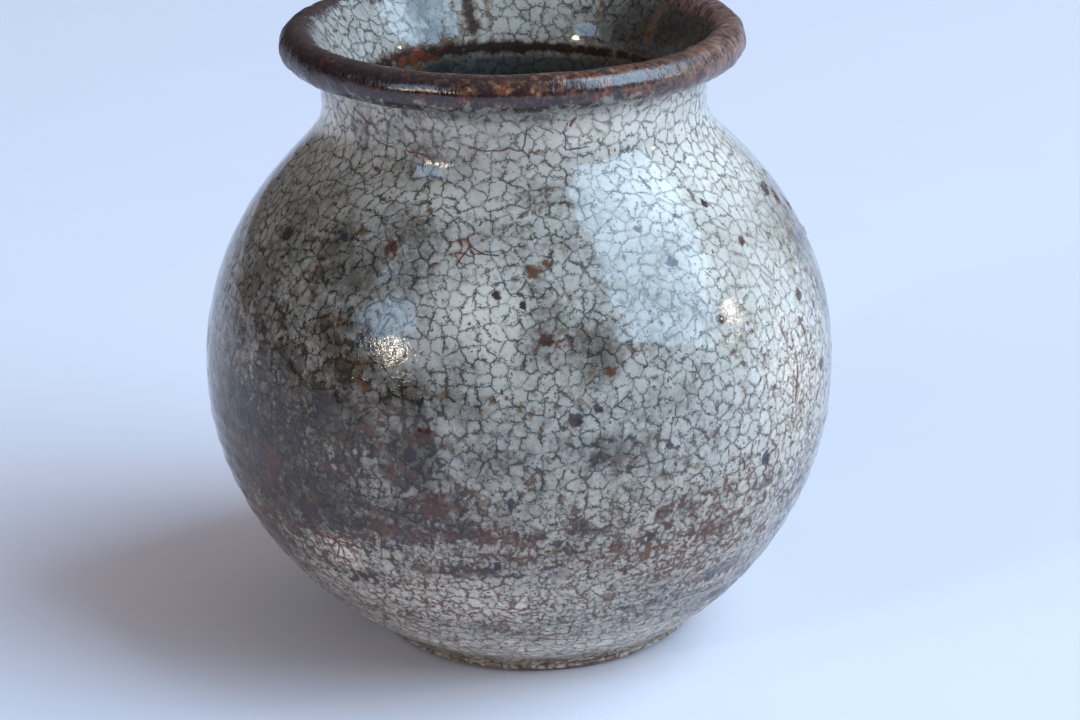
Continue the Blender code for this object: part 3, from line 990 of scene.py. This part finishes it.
    def rugged(self):
        """How rugged the glaze is: low down, in the purple, and on the lip's fibrous sides."""
        stained = self.math("MAXIMUM", self.low, self.product(self.purple, 0.4))
        return self.math("MAXIMUM", stained, self.product(self.ends, self.iron_share))

    def roughness(self):
        gloss = self.soft(self.noise(2.4, 3.0, 0.6), 0.35, 0.65, 0.05, 0.12)
        return self.total(gloss, self.product(self.rugged(), 0.24))

    def bump(self):
        """Fine unevenness that glitters where the glaze is worn, grooves at the cracks, the lip's grain."""
        worn = self.total(self.product(self.fine, self.fine, 0.30), self.product(self.rough, 0.22))
        worn = self.total(worn, self.product(self.soot, 0.12))
        lively = self.total(0.04, worn, self.product(self.rugged(), 0.5))
        glittering = self.total(self.product(self.fine, self.fine, 0.35), self.product(self.rough, 0.5))
        lip_grain = self.math("MULTIPLY_ADD", self.ends, 0.14 * MM, 0.05 * MM)
        height = self.total(
            self.product(self.grain, lively, 0.12 * MM),
            self.product(self.noise(1.6, 1.0, 0.5), lively, 0.22 * MM),
            self.product(self.noise(0.26, 1.0), glittering, 0.035 * MM),
            self.product(self.near, lively, -0.030 * MM),
            self.product(self.brushed, self.low, 0.12 * MM),
            self.product(self.total(self.fleck, self.streak), self.iron_share, lip_grain),
            self.product(self.line, lively, -0.012 * MM),
        )
        return self.add("Bump", {"Height": height, "Distance": 1.0, "Strength": 1.0})


def glaze(name):
    """The material of one coat, its layers of colour laid one over the other."""
    look = Glaze(name)
    colour = look.body()
    stains = (look.sooty, look.rusty, look.cracked, look.specked, look.purpled, look.spotted)
    for layer in (*stains, look.long_cracked, look.inner, look.lipped):
        colour = layer(colour)
    sockets = look.shader.inputs
    look.put(sockets["Base Color"], colour)
    look.put(sockets["Roughness"], look.roughness())
    look.put(sockets["IOR"], IRON_IOR if name == "iron_glaze" else GLAZE_IOR)
    look.put(sockets["Normal"], look.bump())
    return look.material


def clay(name):
    """Bare fired stoneware: warm brown, gritty and matt, with darker specks."""
    material = bpy.data.materials.new(name)
    nodes = Nodes(material)
    grain = nodes.noise(0.5, 3.0, 0.7)
    broad = nodes.noise(5.0, 3.0, 0.6)
    colour = nodes.mix(nodes.soft(broad, 0.35, 0.65), *CLAY)
    colour = nodes.mix(nodes.soft(grain, 0.56, 0.66), colour, CLAY_SPECK)
    bump = nodes.add("Bump", {"Height": nodes.product(grain, 0.12 * MM), "Distance": 1.0})
    nodes.put(nodes.shader.inputs["Base Color"], colour)
    nodes.put(nodes.shader.inputs["Roughness"], 0.85)
    nodes.put(nodes.shader.inputs["Normal"], bump)
    return material


# ------ stage, lights and camera


def add_stage():
    """A wide round sheet of white paper."""
    reach, steps = 4.0, 64
    angles = np.arange(steps) * 2 * math.pi / steps
    rim = np.column_stack([reach * np.sin(angles), -reach * np.cos(angles), np.zeros(steps)])
    mesh = bpy.data.meshes.new("paper")
    mesh.from_pydata(rim.tolist(), [], [tuple(range(steps))])
    paper = add_object("paper", mesh)
    material = bpy.data.materials.new("paper")
    nodes = Nodes(material)
    nodes.put(nodes.shader.inputs["Base Color"], nodes.mix(nodes.noise(30), *PAPER))
    nodes.shader.inputs["Roughness"].default_value = 0.9
    paper.data.materials.append(material)


def direction(turn, lift):
    """The unit vector for a direction round the jar and an elevation, both in degrees."""
    t, e = math.radians(turn), math.radians(lift)
    return Vector((math.sin(t) * math.cos(e), -math.cos(t) * math.cos(e), math.sin(e)))


def add_window(name, turn, lift, distance, size, colour, power, lean=None):
    """A rectangular light that faces the jar. lean is the way that its long side runs."""
    away = direction(turn, lift)
    lean = Vector(lean or (0, 0, 1))
    side = lean.cross(away).normalized()
    upward = away.cross(side)
    light = bpy.data.lights.new(name, "AREA")
    light.shape = "RECTANGLE"
    light.size, light.size_y = size
    light.color = colour
    light.energy = power
    axes = Matrix((side, upward, away)).transposed().to_4x4()
    place = away * distance + Vector((0, 0, BELLY_Z))
    add_object(name, light).matrix_world = Matrix.Translation(place) @ axes


def add_lights():
    """Two windows, and two small low suns that make the glints. Powers are in watts."""
    add_window("main_window", 72, 42, 2.6, (1.88, 2.69), DAYLIGHT, 112, lean=(-0.39, 0.64, 0.51))
    add_window("small_window", -54, 31, 1.5, (0.42, 0.48), SKYLIGHT, 2.9)
    add_window("low_sun_right", 86, 14, 1.2, (0.085, 0.085), SUNLIGHT, 1.4)
    add_window("low_sun_left", -46, 19, 1.2, (0.092, 0.092), SUNLIGHT, 2.2)


def add_room():
    """A dim room that is lighter overhead and to the right. The camera itself sees a pale backdrop."""
    world = bpy.data.worlds.new("room")
    nodes = Nodes(world, "Generated")
    overhead = nodes.vector("DOT_PRODUCT", nodes.place, (0.72, 0.0, 0.69), "Value")
    room = nodes.mix(nodes.soft(overhead, -0.4, 0.95), *ROOM)
    seen = nodes.add("LightPath", {}, "Is Camera Ray")
    nodes.put(nodes.shader.inputs["Color"], nodes.mix(seen, room, BACKDROP))
    bpy.context.scene.world = world


# The camera looks down at the globe, and aims a little right of its middle and below it.
CAMERA_LIFT = math.radians(20)
CAMERA_DISTANCE = 0.5
AIM_RIGHT = 3.4 * MM
AIM_BELOW = 0.6 * MM
CAMERA_ROLL = math.radians(-1.05)
SENSOR_WIDTH = 36
FOCAL_LENGTH = 103.8


def add_camera():
    centre = Vector((0, 0, BELLY_Z))
    back = Vector((0, -math.cos(CAMERA_LIFT), math.sin(CAMERA_LIFT)))
    up = Vector((0, math.sin(CAMERA_LIFT), math.cos(CAMERA_LIFT)))
    aim = centre + Vector((AIM_RIGHT, 0, 0)) - up * AIM_BELOW
    data = bpy.data.cameras.new("camera")
    data.sensor_width = SENSOR_WIDTH
    data.lens = FOCAL_LENGTH
    camera = add_object("camera", data)
    camera.location = centre + back * CAMERA_DISTANCE
    look = (aim - camera.location).to_track_quat("-Z", "Y")
    camera.rotation_mode = "QUATERNION"
    camera.rotation_quaternion = look @ Quaternion((0, 0, 1), CAMERA_ROLL)
    bpy.context.scene.camera = camera


def paint(coats, foot):
    """Gives each coat its glaze, and the foot and the CAD's clay pieces the bare clay."""
    for slot, piece in coats.items():
        piece.data.materials.append(glaze(slot))
    bare = clay("stoneware_clay")
    foot.data.materials.append(bare)
    for node in ("thrown_body", "neck_collar", "rolled_lip"):
        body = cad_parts[node]
        body.data.materials.clear()
        body.data.materials.append(bare)


bpy.context.scene.view_settings.view_transform = "Standard"
add_camera()
paint(add_coats(), add_foot())
add_stage()
add_lights()
add_room()
